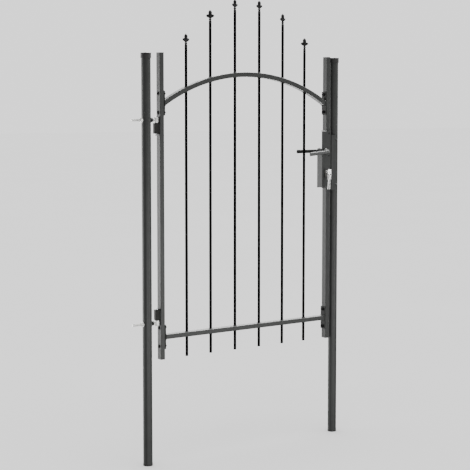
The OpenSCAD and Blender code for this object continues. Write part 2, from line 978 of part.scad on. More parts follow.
// Latch bolt: a bevelled head, a flat tail beside the follower and a lug that its arm pulls.
module latch_bolt() {
  x_tip = face_x + latch_throw;
  head_x0 = axis_x + 1;
  lug_x1 = axis_x - spindle_side / 2 - 0.4;
  lug_x0 = lug_x1 - lug_t;
  nose_x1 = axis_x - arm_w / 2 - 0.2;
  lug_z1 = lever_z + arm_r - 1;
  tail_y = [5.5, 8];
  color(zinc) {
    translate([0, 0, latch_z - latch_h / 2])
      linear_extrude(latch_h)
        polygon([
          [head_x0, -latch_d / 2], [x_tip, -latch_d / 2], [x_tip, -latch_d / 2 + 2],
          [face_x - 1, latch_d / 2], [head_x0, latch_d / 2]
        ]);
    block([lug_x0, tail_y[0], latch_z - 6], [head_x0 + 1, tail_y[1] - 2, latch_z + latch_h / 2]);
    block([lug_x0, tail_y[0], latch_z - 6], [head_x0, tail_y[1], latch_z + latch_h / 2]);
    block([lug_x0, tail_y[0], latch_z - 6], [lug_x1, tail_y[1], lug_z1]);
    block([lug_x0, 1, lever_z + follower_r + 0.4], [nose_x1, tail_y[1], lug_z1]);
  }
}

// Deadbolt: a plain head with a notched tail that the cylinder's cam drives.
module deadbolt() {
  color(zinc)
    difference() {
      block(
        [axis_x - dead_throw - 2, -dead_d / 2, dead_z - dead_h / 2],
        [face_x, dead_d / 2, dead_z + dead_h / 2]
      );
      block(
        [axis_x - 7, -dead_d, dead_z - dead_h / 2 - 1],
        [axis_x + 7, dead_d, dead_z - dead_h / 2 + 4]
      );
    }
}

// ---------------------------------------------------------------- keys

// Turning plug with its cam and the slot for the key.
module cylinder_plug() {
  color(brass)
    difference() {
      translate([axis_x, 0, key_z]) {
        rod_y(-cylinder_end - 0.4, cam_y - 0.3, 2 * plug_r);
        rod_y(-cam_y, cam_y - 0.3, 2 * barrel_r - 1);
        block([-3, -cam_y, 0], [3, cam_y - 0.3, cam_r - 0.6]);
      }
      translate([axis_x, 0, key_z]) keyway(-cylinder_end - 1, cam_y + 1);
    }
}

// Flat key in the YZ plane: the blade along +Y, and the bow's hole at the origin.
module flat_key() {
  neck = bow_l - bow_hole_in;
  rotate([0, 90, 0])
    translate([0, 0, -key_t / 2])
      linear_extrude(key_t)
        difference() {
          union() {
            translate([0, bow_l / 2 - bow_hole_in]) round_rect(bow_w, bow_l, 7);
            translate([-blade_h / 2, neck - 2]) square([blade_h, neck_l + blade_l]);
            translate([0, neck + neck_l + blade_l - 2]) circle(blade_h / 2);
            translate([-6, neck + neck_l - 3.5]) square([12, 3]);
          }
          circle(d = bow_hole);
        }
}

module key() {
  color(nickel) translate([axis_x, bow_y, key_z]) flat_key();
}

// Split ring that hangs from the key's bow and carries the spare keys.
module key_ring() {
  color(nickel)
    translate([axis_x, bow_y, ring_z])
      rotate([90, 0, 0])
        rotate_extrude() translate([ring_r, 0]) circle(d = ring_wire);
}

// Two spare keys, side by side on the ring, one of them hanging askew.
module spare_keys() {
  color(nickel)
    for (k = [0, 1])
      translate([axis_x + spare_side[0], bow_y, spare_z + spare_lift[k]])
        rotate([0, 0, spare_turn])
          translate([spare_side[k] - spare_side[0], 0, 0])
            rotate([0, spare_lean[k], 0]) rotate([-90, 0, 0]) flat_key();
}

// ---------------------------------------------------------------- nodes

hinge_post();
latch_post();
hinge_post_cap();
latch_post_cap();
hinge_post_foot();
latch_post_foot();
upper_eyebolt();
lower_eyebolt();
eyebolt_nuts();
eyebolt_washers();
keep();
keep_screws();
hinge_stile();
lock_stile();
stile_caps();
stile_plugs();
top_arch();
bottom_rail();
bar_1();
bar_2();
bar_3();
bar_4();
bar_5();
bar_6();
spear_1();
spear_2();
spear_3();
spear_4();
spear_5();
spear_6();
arch_plate_left();
arch_plate_right();
rail_plate_left();
rail_plate_right();
frame_bolts();
frame_nuts();
upper_hinge_block();
lower_hinge_block();
upper_hinge_pin();
lower_hinge_pin();
lock_case();
lock_faceplate();
faceplate_screws();
front_cover();
back_cover();
cover_screws();
cylinder_body();
cylinder_screw();
front_lever();
back_lever();
spindle();
follower();
return_spring();
latch_bolt();
deadbolt();
cylinder_plug();
key();
key_ring();
spare_keys();
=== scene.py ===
import json
import math

import bmesh
import bpy
from mathutils import Euler, Matrix, Vector, noise

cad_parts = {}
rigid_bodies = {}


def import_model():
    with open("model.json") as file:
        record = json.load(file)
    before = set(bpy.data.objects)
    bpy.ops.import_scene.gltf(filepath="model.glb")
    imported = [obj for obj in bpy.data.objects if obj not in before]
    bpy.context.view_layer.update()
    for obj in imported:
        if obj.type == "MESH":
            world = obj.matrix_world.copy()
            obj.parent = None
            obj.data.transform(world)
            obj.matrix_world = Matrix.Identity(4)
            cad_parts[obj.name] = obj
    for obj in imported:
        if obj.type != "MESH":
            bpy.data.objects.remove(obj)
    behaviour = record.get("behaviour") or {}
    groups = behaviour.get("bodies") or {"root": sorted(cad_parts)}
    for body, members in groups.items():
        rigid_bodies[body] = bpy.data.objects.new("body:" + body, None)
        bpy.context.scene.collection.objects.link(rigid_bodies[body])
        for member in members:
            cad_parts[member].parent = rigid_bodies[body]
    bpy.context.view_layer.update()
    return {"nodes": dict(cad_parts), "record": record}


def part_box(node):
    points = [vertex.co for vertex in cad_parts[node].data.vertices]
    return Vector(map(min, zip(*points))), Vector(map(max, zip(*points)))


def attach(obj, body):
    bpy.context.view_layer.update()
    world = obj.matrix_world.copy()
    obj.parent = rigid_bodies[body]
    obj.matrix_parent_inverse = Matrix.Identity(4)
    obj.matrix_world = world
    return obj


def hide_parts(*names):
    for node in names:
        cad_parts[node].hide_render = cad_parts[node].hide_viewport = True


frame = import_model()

MM = 0.001
TAU = 2 * math.pi
NODES = frame["nodes"]


# ---------------------------------------------------------------- places from the frame

def middle(node):
    """Middle of a CAD node's box."""
    lo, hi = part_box(node)
    return (lo + hi) / 2


def low(node):
    """Lowest corner of a CAD node's box."""
    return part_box(node)[0]


def high(node):
    """Highest corner of a CAD node's box."""
    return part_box(node)[1]


# ---------------------------------------------------------------- materials

def shader(name):
    """A new node material, its node tree and its principled shader."""
    made = bpy.data.materials.new(name)
    made.use_nodes = True
    tree = made.node_tree
    return made, tree, tree.nodes["Principled BSDF"]


def add(tree, kind, **values):
    """A new node with some of its properties or inputs set."""
    made = tree.nodes.new(kind)
    for key, value in values.items():
        if hasattr(made, key):
            setattr(made, key, value)
        else:
            made.inputs[key.replace("_", " ")].default_value = value
    return made


def object_noise(tree, scale, detail=3.0, rough=0.55, stretch=(1, 1, 1)):
    """Noise in the object's own metres: scale is in cells per metre."""
    place = add(tree, "ShaderNodeTexCoord")
    mapping = add(tree, "ShaderNodeMapping")
    mapping.inputs["Scale"].default_value = stretch
    made = add(tree, "ShaderNodeTexNoise", Scale=scale, Detail=detail, Roughness=rough)
    tree.links.new(place.outputs["Object"], mapping.inputs["Vector"])
    tree.links.new(mapping.outputs["Vector"], made.inputs["Vector"])
    return made


def ramp(tree, source, stops):
    """Colour ramp over a node's factor. Stops are (place, grey or colour)."""
    made = add(tree, "ShaderNodeValToRGB")
    ends = made.color_ramp.elements
    while len(ends) < len(stops):
        ends.new(0.5)
    for end, (place, colour) in zip(ends, stops):
        end.position = place
        end.color = (*colour, 1) if isinstance(colour, tuple) else (colour, colour, colour, 1)
    tree.links.new(source, made.inputs["Fac"])
    return made


def blend_colours(tree, factor, first, second):
    """Mix of two colours, each a tuple or a socket, by a factor socket."""
    made = add(tree, "ShaderNodeMix", data_type="RGBA", blend_type="MIX")
    for socket, value in ((made.inputs[0], factor), (made.inputs[6], first), (made.inputs[7], second)):
        if isinstance(value, bpy.types.NodeSocket):
            tree.links.new(value, socket)
        else:
            socket.default_value = (*value, 1)
    return made.outputs[2]


def bump(tree, height, distance, strength=1.0, under=None):
    """Bump of a height in metres, on top of another bump."""
    made = add(tree, "ShaderNodeBump", Strength=strength, Distance=distance)
    tree.links.new(height, made.inputs["Height"])
    if under is not None:
        tree.links.new(under.outputs["Normal"], made.inputs["Normal"])
    return made


def powder_coat(name, deep, pale, coarse=1.0, relief=1.0, shine=0.5):
    """Fine-textured powder coat: orange peel, grains, faint dust and chalky high spots.

    coarse scales the grain's size, relief the bump's strength, and shine is the specular level.
    """
    made, tree, bsdf = shader(name)
    bsdf.inputs["Specular IOR Level"].default_value = shine
    peel = object_noise(tree, 900 / coarse, 2)
    grain = object_noise(tree, 3200 / coarse, 2, 0.7)
    cloud = object_noise(tree, 14, 4)
    speck = object_noise(tree, 1500 / coarse, 1)
    rain = object_noise(tree, 60, 3, stretch=(1, 1, 0.06))
    tint = ramp(tree, cloud.outputs["Fac"], [(0.3, deep), (0.72, pale)])
    streak = ramp(tree, rain.outputs["Fac"], [(0.45, 0.0), (0.75, 0.35)])
    dusty = blend_colours(tree, streak.outputs["Color"], tint.outputs["Color"], tuple(1.25 * c for c in pale))
    flecks = ramp(tree, speck.outputs["Fac"], [(0.66, 0.0), (0.72, 0.5)])
    coat = blend_colours(tree, flecks.outputs["Color"], dusty, tuple(1.8 * c for c in pale))
    tree.links.new(coat, bsdf.inputs["Base Color"])
    gloss = ramp(tree, grain.outputs["Fac"], [(0.3, 0.40), (0.7, 0.56)])
    tree.links.new(gloss.outputs["Color"], bsdf.inputs["Roughness"])
    skin = bump(tree, peel.outputs["Fac"], 0.00022, 0.5 * relief)
    fine = bump(tree, grain.outputs["Fac"], 0.00006, 0.6 * relief, skin)
    tree.links.new(fine.outputs["Normal"], bsdf.inputs["Normal"])
    bsdf.inputs["IOR"].default_value = 1.5
    return made


def plated_metal(name, deep, pale, rough, spangle=220, streaks=(1, 1, 1), metallic=1.0):
    """Plated metal: mottled tint and fine scratches, drawn out along an axis by streaks."""
    made, tree, bsdf = shader(name)
    bsdf.inputs["Metallic"].default_value = metallic
    mottle = object_noise(tree, spangle, 4, 0.6)
    scratch = object_noise(tree, 700, 3, 0.6, streaks)
    tint = ramp(tree, mottle.outputs["Fac"], [(0.35, deep), (0.65, pale)])
    tree.links.new(tint.outputs["Color"], bsdf.inputs["Base Color"])
    gloss = ramp(tree, scratch.outputs["Fac"], [(0.35, rough * 0.75), (0.7, rough * 1.35)])
    tree.links.new(gloss.outputs["Color"], bsdf.inputs["Roughness"])
    fine = bump(tree, scratch.outputs["Fac"], 0.00003, 0.5)
    tree.links.new(fine.outputs["Normal"], bsdf.inputs["Normal"])
    return made


def moulded_plastic(name, deep, pale):
    """Matt moulded plastic: spark-eroded grain and faint flow marks."""
    made, tree, bsdf = shader(name)
    grain = object_noise(tree, 2400, 2, 0.6)
    flow = object_noise(tree, 45, 3)
    tint = ramp(tree, flow.outputs["Fac"], [(0.35, deep), (0.7, pale)])
    tree.links.new(tint.outputs["Color"], bsdf.inputs["Base Color"])
    gloss = ramp(tree, grain.outputs["Fac"], [(0.35, 0.42), (0.7, 0.62)])
    tree.links.new(gloss.outputs["Color"], bsdf.inputs["Roughness"])
    fine = bump(tree, grain.outputs["Fac"], 0.00005, 0.7)
    tree.links.new(fine.outputs["Normal"], bsdf.inputs["Normal"])
    return made


COAT = powder_coat("anthracite_powder_coat", (0.017, 0.018, 0.0175), (0.027, 0.029, 0.027))
WELD = powder_coat("coated_weld", (0.014, 0.015, 0.014), (0.024, 0.025, 0.024), coarse=0.6)
LEVER_COAT = powder_coat("satin_lever_coat", (0.034, 0.036, 0.035), (0.048, 0.050, 0.048),
                         coarse=0.7, shine=1.0)
PLASTIC = moulded_plastic("black_moulded_plastic", (0.012, 0.012, 0.012), (0.024, 0.024, 0.023))
BAR_COAT = powder_coat("black_bar_coat", (0.0015, 0.0015, 0.0015), (0.003, 0.003, 0.003),
                       relief=0.3, shine=0.02)
CAST_COAT = powder_coat("black_casting_coat", (0.003, 0.003, 0.003), (0.006, 0.006, 0.006),
                        coarse=0.7, shine=0.3)
# Dark coat for the end plates. The back lever also takes it as painted shade, though it is the same lever as
# the front one.
PLATE_AND_BACK_LEVER_SHADE_COAT = powder_coat("dark_plate_coat_and_painted_lever_shade", (0.010, 0.011, 0.010), (0.016, 0.017, 0.016), shine=0.2)
BLOCK_COAT = powder_coat("dark_block_coat", (0.016, 0.017, 0.016), (0.030, 0.030, 0.028), shine=0.1)
BLACK_STEEL = powder_coat("black_coated_steel", (0.004, 0.004, 0.005), (0.009, 0.009, 0.009),
                          coarse=0.5, shine=0.25)
ZINC = plated_metal("bright_zinc", (0.86, 0.86, 0.84), (0.97, 0.97, 0.95), 0.3, metallic=0.3)
DULL_ZINC = plated_metal("dull_zinc", (0.42, 0.43, 0.45), (0.62, 0.63, 0.65), 0.36, 140)
NICKEL = plated_metal("bright_nickel", (0.93, 0.93, 0.92), (0.98, 0.975, 0.965), 0.4, 90,
                      streaks=(1, 1, 0.1), metallic=0.6)
DARK_NICKEL = plated_metal("dark_nickelled_brass", (0.10, 0.10, 0.095), (0.17, 0.165, 0.155), 0.34, 120)

MATERIAL_OF_SLOT = {
    "powder_coat": COAT,
    "black_plastic": PLASTIC,
    "zinc": DULL_ZINC,
    "black_screw": BLACK_STEEL,
    "nickel_brass": DARK_NICKEL,
    "nickel": NICKEL,
}


def finish_node(node, material):
    """A CAD node keeps its shape and gets a material."""
    piece = NODES[node]
    piece.data.materials.clear()
    piece.data.materials.append(material)


for part in frame["record"]["subparts"]:
    finish_node(part["node"], MATERIAL_OF_SLOT[part["material_slot"]])
for number in range(1, 7):
    finish_node(f"bar_{number}", BAR_COAT)
for part in ("arch_plate_left", "arch_plate_right", "rail_plate_left", "rail_plate_right"):
    finish_node(part, PLATE_AND_BACK_LEVER_SHADE_COAT)
for part in ("upper_hinge_block", "lower_hinge_block"):
    finish_node(part, BLOCK_COAT)
finish_node("keep_screws", COAT)


# ---------------------------------------------------------------- mesh makers

def turned(profile, place, count):
    """Rings of points: (radius, height) pairs turned about Z, then moved by a matrix."""
    return [[place @ Vector((r * math.cos(TAU * k / count), r * math.sin(TAU * k / count), z))
             for k in range(count)] for r, z in profile]


def superellipse(wide, deep, power, count):
    """Closed outline of a soft rectangle, or of a soft diamond for a power below 2."""
    made = []
    for k in range(count):
        a = TAU * k / count
        c, s = math.cos(a), math.sin(a)
        r = 1 / (abs(c) ** power + abs(s) ** power) ** (1 / power)
        made.append((wide * r * c, deep * r * s))
    return made


def hexagon(half_across, angle):
    """Distance from a hexagon's middle to its outline at an angle."""
    return half_across / math.cos((angle + math.pi / 6) % (math.pi / 3) - math.pi / 6)


class Shape:
    """Collects closed shells and turns them into one piece."""

    def __init__(self):
        self.mesh = bmesh.new()

    def grid(self, rings, capped=True):
        """Skin over rings of points, capped at both ends or else joined from last to first."""
        made = [[self.mesh.verts.new(p) for p in ring] for ring in rings]
        count = len(made[0])
        pairs = list(zip(made, made[1:]))
        if not capped:
            pairs = pairs + [(made[-1], made[0])]
        for a, b in pairs:
            for k in range(count):
                j = (k + 1) % count
                self.mesh.faces.new((a[k], a[j], b[j], b[k]))
        if capped:
            self.mesh.faces.new(list(reversed(made[0])))
            self.mesh.faces.new(made[-1])

    def lathe(self, profile, place, count, capped=True):
        """Solid of revolution about Z from (radius, height) pairs, moved by a matrix."""
        self.grid(turned(profile, place, count), capped)

    def piece(self, name, body, material, slot, replaces=(), angle=35):
        """Makes the object, shades it smooth up to an angle, and lets it ride."""
        bmesh.ops.recalc_face_normals(self.mesh, faces=self.mesh.faces)
        data = bpy.data.meshes.new(name)
        self.mesh.to_mesh(data)
        self.mesh.free()
        data.materials.append(material)
        made = bpy.data.objects.new(name, data)
        bpy.context.scene.collection.objects.link(made)
        data.shade_smooth()
        data.set_sharp_from_angle(angle=math.radians(angle))
        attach(made, body)
        if replaces:
            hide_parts(*replaces)
        return made


def along_x(x, y, z, flip=False):
    """Matrix that stands a shape made along +Z along +X (or -X) at a place."""
    turn = Euler((0, -math.pi / 2 if flip else math.pi / 2, 0)).to_matrix().to_4x4()
    return Matrix.Translation((x, y, z)) @ turn


def along_y(x, y, z, flip=False):
    """Matrix that stands a shape made along +Z along -Y (or +Y) at a place."""
    turn = Euler((-math.pi / 2 if flip else math.pi / 2, 0, 0)).to_matrix().to_4x4()
    return Matrix.Translation((x, y, z)) @ turn


def upright(x, y, z, turn):
    """Matrix that keeps a shape made along +Z upright at a place, turned about its own axis."""
    return Matrix.Translation((x, y, z)) @ Matrix.Rotation(turn, 4, "Z")


def arc(cx, cz, r, start, end, steps):
    """Points (radius, height) along an arc for a lathe profile, angles in degrees."""
    made = []
    for k in range(steps + 1):
        a = math.radians(start + (end - start) * k / steps)
        made.append((cx + r * math.cos(a), cz + r * math.sin(a)))
    return made


def threaded_rod(shape, length, radius, pitch, place, smooth_to=0.0, count=24):
    """Screw thread cut into a rod along +Z, with a chamfered end at its far side."""
    depth = pitch * 0.54
    step = pitch / 6
    rows = max(2, round(length / step))
    rings = []
    for i in range(rows + 1):
        z = length * i / rows
        ring = []
        for k in range(count):
            turn = k / count
            phase = (z / pitch - turn) % 1.0
            cut = depth * abs(2 * phase - 1) ** 1.1
            if z < smooth_to:
                cut = depth * 0.35
            end_taper = max(0.0, z - (length - pitch)) / pitch
            r = radius - cut * (1 - 0.4 * end_taper) - end_taper * depth * 0.9
            ring.append(place @ Vector((r * math.cos(TAU * turn), r * math.sin(TAU * turn), z)))
        rings.append(ring)
    shape.grid(rings)


def hex_nut(shape, across, height, bore, place, count=48):
    """Hexagon nut with chamfered corners and a countersunk bore, made along +Z."""
    chamfer = across * 0.475

    def drop(r):
        """How far the chamfer cone lies below the nut's face at a radius."""
        return max(0.0, r - chamfer) * 0.58

    # (radius, height, kind): kind 0 is a circle, 1 and 2 are the hexagon's lower and upper edge
    levels = [(bore, 0.6 * MM, 0), (bore + 0.7 * MM, 0.0, 0), (chamfer * 0.98, 0.0, 0), (None, None, 1),
              (None, None, 2), (chamfer * 0.98, height, 0), (bore + 0.7 * MM, height, 0),
              (bore, height - 0.6 * MM, 0)]
    rings = []
    for r, z, kind in levels:
        ring = []
        for k in range(count):
            a = TAU * k / count
            if kind == 0:
                rr, zz = r, z
            else:
                rr = hexagon(across / 2, a)
                zz = drop(rr) if kind == 1 else height - drop(rr)
            ring.append(place @ Vector((rr * math.cos(a), rr * math.sin(a), zz)))
        rings.append(ring)
    shape.grid(rings, capped=False)


def flat_washer(shape, outer, bore, thick, place):
    """Washer with softened edges, made along +Z from 0 to its thickness."""
    soft = 0.3 * MM
    profile = [
        (bore, soft), (bore + soft, 0), (outer - soft, 0), (outer, soft),
        (outer, thick - soft), (outer - soft, thick), (bore + soft, thick), (bore, thick - soft),
    ]
    shape.lathe(profile, place, 48, capped=False)


def tube_along(shape, points, radii, count=10, closed=False):
    """Round tube through points, its radius given for each of them."""
    total = len(points)
    rings = []
    last_side = None
    for i, p in enumerate(points):
        ahead = points[(i + 1) % total] if closed or i + 1 < total else p
        behind = points[i - 1] if closed or i > 0 else p
        way = (ahead - behind).normalized()
        if last_side is None:
            guide = Vector((0, 0, 1)) if abs(way.z) < 0.9 else Vector((1, 0, 0))
            last_side = way.cross(guide).normalized()
        side = (last_side - way * last_side.dot(way)).normalized()
        last_side = side
        up = way.cross(side)
        r = radii[i]
        rings.append([p + side * (r * math.cos(TAU * k / count)) + up * (r * math.sin(TAU * k / count))
                      for k in range(count)])
    shape.grid(rings, capped=not closed)


def weld_bead(shape, points, radius, closed, ripple=1.5 * MM, seed=0):
    """Hand-laid weld bead: overlapping ripples of uneven width along a path."""
    dense = []
    total = len(points)
    spans = total if closed else total - 1
    for i in range(spans):
        a, b = points[i], points[(i + 1) % total]
        steps = max(1, round((b - a).length / (ripple / 3)))
        dense += [a.lerp(b, k / steps) for k in range(steps)]
    if not closed:
        dense.append(points[-1])
    radii = []
    run = 0.0
    for i, p in enumerate(dense):
        if i:
            run += (p - dense[i - 1]).length
        wave = abs(math.sin(math.pi * run / ripple + seed))
        wobble = noise.noise(p * 260 + Vector((seed, 0, 0)))
        end = 1.0 if closed else min(1.0, (min(i, len(dense) - 1 - i) + 1.2) / 4)
        radii.append(radius * (0.84 + 0.2 * wave + 0.22 * wobble) * end)
    tube_along(shape, dense, radii, 8, closed)


# ---------------------------------------------------------------- spear heads

SPEAR_TURNS = (5, -30, 14, 8, 14, -22)
SPEAR_HEIGHT = 58 * MM


def bezier(p, t):
    """Point at t on a cubic curve through four control points."""
    a, b, c, d = p
    return a * (1 - t) ** 3 + b * (3 * (1 - t) ** 2 * t) + c * (3 * (1 - t) * t * t) + d * t ** 3


def spear_stem(shape, place):
    """Foot, collar bead and neck of a spear head, up to the foot of its leaves."""
    profile = [(5.5, 0.0), (6.05, 0.5), (6.1, 4.5), (6.05, 9.4), (5.7, 10.3), (4.8, 11.2), (4.5, 12.2),
               (4.8, 13.5)]
    profile += arc(3.8, 17.0, 2.8, -66, 66, 8)
    profile += [(4.8, 20.4), (4.4, 22.0), (4.5, 25.0), (4.2, 29.0), (1.0, 33.0)]
    shape.lathe([(r * MM, z * MM) for r, z in profile], place, 28)


def spear_body(shape, place):
    """Onion-shaped body with soft ridges, drawn out to the spear's point."""
    outline = [(22.5, 4.8, 4.6), (25, 5.6, 5.2), (28, 6.4, 5.8), (32, 7.0, 6.2), (36, 7.4, 6.5),
               (39, 7.7, 6.8), (42, 8.0, 7.1), (45, 8.1, 7.2), (47.5, 7.8, 7.0), (50, 7.1, 6.4),
               (52.3, 5.9, 5.3), (54.5, 4.2, 3.8), (56.5, 2.3, 2.0), (57.9, 0.5, 0.4)]
    shape.grid([[place @ Vector((x * MM, y * MM, z * MM)) for x, y in superellipse(wide, deep, 1.75, 32)]
                for z, wide, deep in outline])


def spear_leaf(shape, place, side):
    """One side leaf: a thick lobe that swells outward, with its end turned up a little."""
    route = [Vector(p) for p in ((1.5, 0, 28.5), (6.0, 0, 30.5), (11.0, 0, 32.0), (15.9, 0, 36.6))]
    steps = 18
    rings = []
    count = 20
    for i in range(steps + 1):
        t = i / steps
        p = bezier(route, t)
        way = (bezier(route, min(1, t + 0.01)) - bezier(route, max(0, t - 0.01))).normalized()
        out = Vector((way.z, 0, -way.x))
        end = math.sqrt(max(0.0, 1 - max(0.0, (t - 0.74) / 0.26) ** 2.4))
        wide = (6.9 - 1.3 * t) * end + 0.15
        deep = (4.6 - 0.8 * t) * end + 0.12
        ring = []
        for k in range(count):
            a = TAU * k / count
            q = p + out * (wide * math.cos(a)) + Vector((0, deep * math.sin(a), 0))
            ring.append(place @ Vector((side * q.x * MM, q.y * MM, q.z * MM)))
        rings.append(ring if side > 0 else list(reversed(ring)))
    shape.grid(rings)


def spear(index):
    """One spear head, turned about its bar as it was welded on."""
    node = f"spear_{index + 1}"
    bar = middle(f"bar_{index + 1}")
    place = upright(bar.x, bar.y, high(node).z - SPEAR_HEIGHT, math.radians(SPEAR_TURNS[index]))
    shape = Shape()
    spear_stem(shape, place)
    spear_body(shape, place)
    spear_leaf(shape, place, 1)
    spear_leaf(shape, place, -1)
    shape.piece(f"{node}_casting", "leaf", CAST_COAT, "powder_coat", [node], 50)


for number in range(6):
    spear(number)


# ---------------------------------------------------------------- weld beads

BAR_R = (high("bar_1").x - low("bar_1").x) / 2
ARCH = (low("top_arch"), high("top_arch"))
RAIL = (low("bottom_rail"), high("bottom_rail"))
RAIL_HALF = (RAIL[1].z - RAIL[0].z) / 2
RAIL_DEEP = RAIL[1].y
ARCH_ENDS_Z = (low("arch_plate_left").z + high("arch_plate_left").z) / 2
ARCH_MID_X = (ARCH[0].x + ARCH[1].x) / 2
ARCH_HALF = (ARCH[1].x - ARCH[0].x) / 2
ARCH_RISE = ARCH[1].z - RAIL_HALF - ARCH_ENDS_Z
ARCH_R = (ARCH_HALF ** 2 + ARCH_RISE ** 2) / (2 * ARCH_RISE)
ARCH_MID_Z = ARCH_ENDS_Z + ARCH_RISE - ARCH_R


def bar_weld(shape, x, z, slope, up, seed):
    """Bead round a bar where it meets a rail's upper or lower side."""
    r = BAR_R + 0.75 * MM
    lift = 0.55 * MM * up
    points = []
    for k in range(24):
        a = TAU * k / 24
        points.append(Vector((x + r * math.cos(a), r * math.sin(a), z + slope * r * math.cos(a) + lift)))
    weld_bead(shape, points, 1.55 * MM, True, 1.6 * MM, seed)


def bar_welds():
    """Beads round the six bars, on both sides of the bottom rail and of the arch."""
    shape = Shape()
    for index in range(6):
        x = middle(f"bar_{index + 1}").x
        for up in (1, -1):
            bar_weld(shape, x, middle("bottom_rail").z + up * RAIL_HALF, 0, up, index * 4 + up)
            r = ARCH_R + up * RAIL_HALF
            across = x - ARCH_MID_X
            z = ARCH_MID_Z + math.sqrt(r * r - across * across)
            bar_weld(shape, x, z, -across / (z - ARCH_MID_Z), up, index * 4 + up + 2)
    shape.piece("bar_weld_beads", "leaf", WELD, "powder_coat", (), 60)


def frame_weld(shape, x, z, slope, side, seed):
    """Bead round a square tube where it meets an end plate. side is +1 to the plate's right."""
    deep = RAIL_DEEP + 0.2 * MM
    tall = (RAIL_HALF + 0.2 * MM) * math.sqrt(1 + slope * slope)
    corner = 1.6 * MM
    points = []
    for sy, sz, a0 in ((1, 1, 0), (-1, 1, 90), (-1, -1, 180), (1, -1, 270)):
        for k in range(4):
            a = math.radians(a0 + 30 * k)
            y = sy * (deep - corner) + corner * math.cos(a)
            zz = sz * (tall - corner) + corner * math.sin(a)
            points.append(Vector((x + side * 0.9 * MM, y, z + zz)))
    weld_bead(shape, points, 2.0 * MM, True, 2.0 * MM, seed)


def frame_welds():
    """Beads at the four end plates of the bottom rail and the arch."""
    shape = Shape()
    slope = ARCH_HALF / (ARCH_ENDS_Z - ARCH_MID_Z)
    left, right = high("rail_plate_left").x, low("rail_plate_right").x
    rail_z = middle("bottom_rail").z
    frame_weld(shape, left, rail_z, 0, 1, 1)
    frame_weld(shape, right, rail_z, 0, -1, 2)
    frame_weld(shape, left, ARCH_ENDS_Z, slope, 1, 3)
    frame_weld(shape, right, ARCH_ENDS_Z, slope, -1, 4)
    shape.piece("frame_weld_beads", "leaf", WELD, "powder_coat", (), 60)


def block_welds():
    """Beads down both sides and across both ends of each hinge block."""
    shape = Shape()
    for number, node in enumerate(("upper_hinge_block", "lower_hinge_block")):
        lo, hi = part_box(node)
        x = hi.x - 0.7 * MM
        for side in (-1, 1):
            y = side * (hi.y + 0.5 * MM)
            weld_bead(shape, [Vector((x, y, lo.z + 1.5 * MM)), Vector((x, y, hi.z - 1.5 * MM))],
                      1.9 * MM, False, 2.1 * MM, number * 3 + side)
        for z in (lo.z - 0.4 * MM, hi.z + 0.4 * MM):
            weld_bead(shape, [Vector((x, lo.y + 2 * MM, z)), Vector((x, hi.y - 2 * MM, z))],
                      1.7 * MM, False, 2.1 * MM, number + 9)
    shape.piece("hinge_block_welds", "leaf", WELD, "powder_coat", (), 60)


bar_welds()
frame_welds()
block_welds()


# ---------------------------------------------------------------- frame bolts and nuts

STILE_W = high("hinge_stile").x - low("hinge_stile").x
PLATE_T = high("rail_plate_left").x - low("rail_plate_left").x
LEAF_X0 = low("hinge_stile").x
LEAF_X1 = high("lock_stile").x
BOLT_R = 4 * MM
BOLT_PITCH = 1.25 * MM
BOLT_TAIL = 4 * MM
BOLT_REACH = 40 * MM
HEAD_R = 8 * MM
HEAD_H = 4.8 * MM
SOCKET_R = 2.9 * MM
NUT_ACROSS = 13 * MM
NUT_H = 6.5 * MM
THREAD_GAP = 0.12 * MM


def bolt_places():
    """(x of the outer face, height, whether the bolt points along -X) of each frame bolt."""
    made = []
    for z in (ARCH_ENDS_Z, middle("bottom_rail").z):
        for side in (-1, 1):
            made.append((LEAF_X0, z + side * BOLT_REACH, False))
            made.append((LEAF_X1, z + side * BOLT_REACH, True))
    return made


def dome_head(shape, radius, height, place, socket, count=36):
    """Domed head from Z = 0 down to -height, with a hexagon socket of a given corner radius."""
    ball = (radius ** 2 + height ** 2) / (2 * height)
    rim = -0.35 * MM
    profile = [(radius * 0.96, 0.0), (radius, rim)]
    steps = 9
    for k in range(steps + 1):
        r = radius - (radius - socket) * k / steps
        z = -(height - ball + math.sqrt(max(0.0, ball * ball - r * r)))
        profile.append((r, min(z, rim)))
    rings = turned(profile, place, count)
    top = profile[-1][1]
    depth = min(height * 0.75, 2.6 * MM)
    for z, shrink in ((top + 0.15 * MM, 0.98), (top + depth, 0.96)):
        ring = []
        for k in range(count):
            a = TAU * k / count
            r = hexagon(socket * shrink * 0.866, a)
            ring.append(place @ Vector((r * math.cos(a), r * math.sin(a), z)))
        rings.append(ring)
    shape.grid(rings)


def frame_bolts():
    """Bolts through the stiles and end plates, with nuts behind the plates."""
    heads, nuts = Shape(), Shape()
    shank = STILE_W + PLATE_T + NUT_H + BOLT_TAIL
    for number, (x, z, flip) in enumerate(bolt_places()):
        place = along_x(x, 0, z, flip)
        way = -1 if flip else 1
        dome_head(heads, HEAD_R, HEAD_H, place, SOCKET_R)
        threaded_rod(heads, shank, BOLT_R, BOLT_PITCH, place, STILE_W * 0.6)
        nut_x = x + way * (STILE_W + PLATE_T)
        spin = Matrix.Rotation(0.4 + 0.7 * number, 4, "Z")
        hex_nut(nuts, NUT_ACROSS, NUT_H, BOLT_R + THREAD_GAP, along_x(nut_x, 0, z, flip) @ spin)
    heads.piece("frame_bolts_threaded", "leaf", BLACK_STEEL, "black_screw", ["frame_bolts"], 40)
    nuts.piece("frame_nuts_hex", "leaf", BLACK_STEEL, "black_screw", ["frame_nuts"], 30)


frame_bolts()


# ---------------------------------------------------------------- eyebolts

POST_R = (high("hinge_post").x - low("hinge_post").x) / 2
ROD_R = 5 * MM
ROD_PITCH = 1.5 * MM
EYE_BORE = 5.06 * MM
ROD_NUT_ACROSS = 17 * MM
ROD_NUT_H = 8 * MM
WASHER_R = 10.5 * MM
WASHER_BORE = 5.3 * MM
WASHER_T = 2 * MM


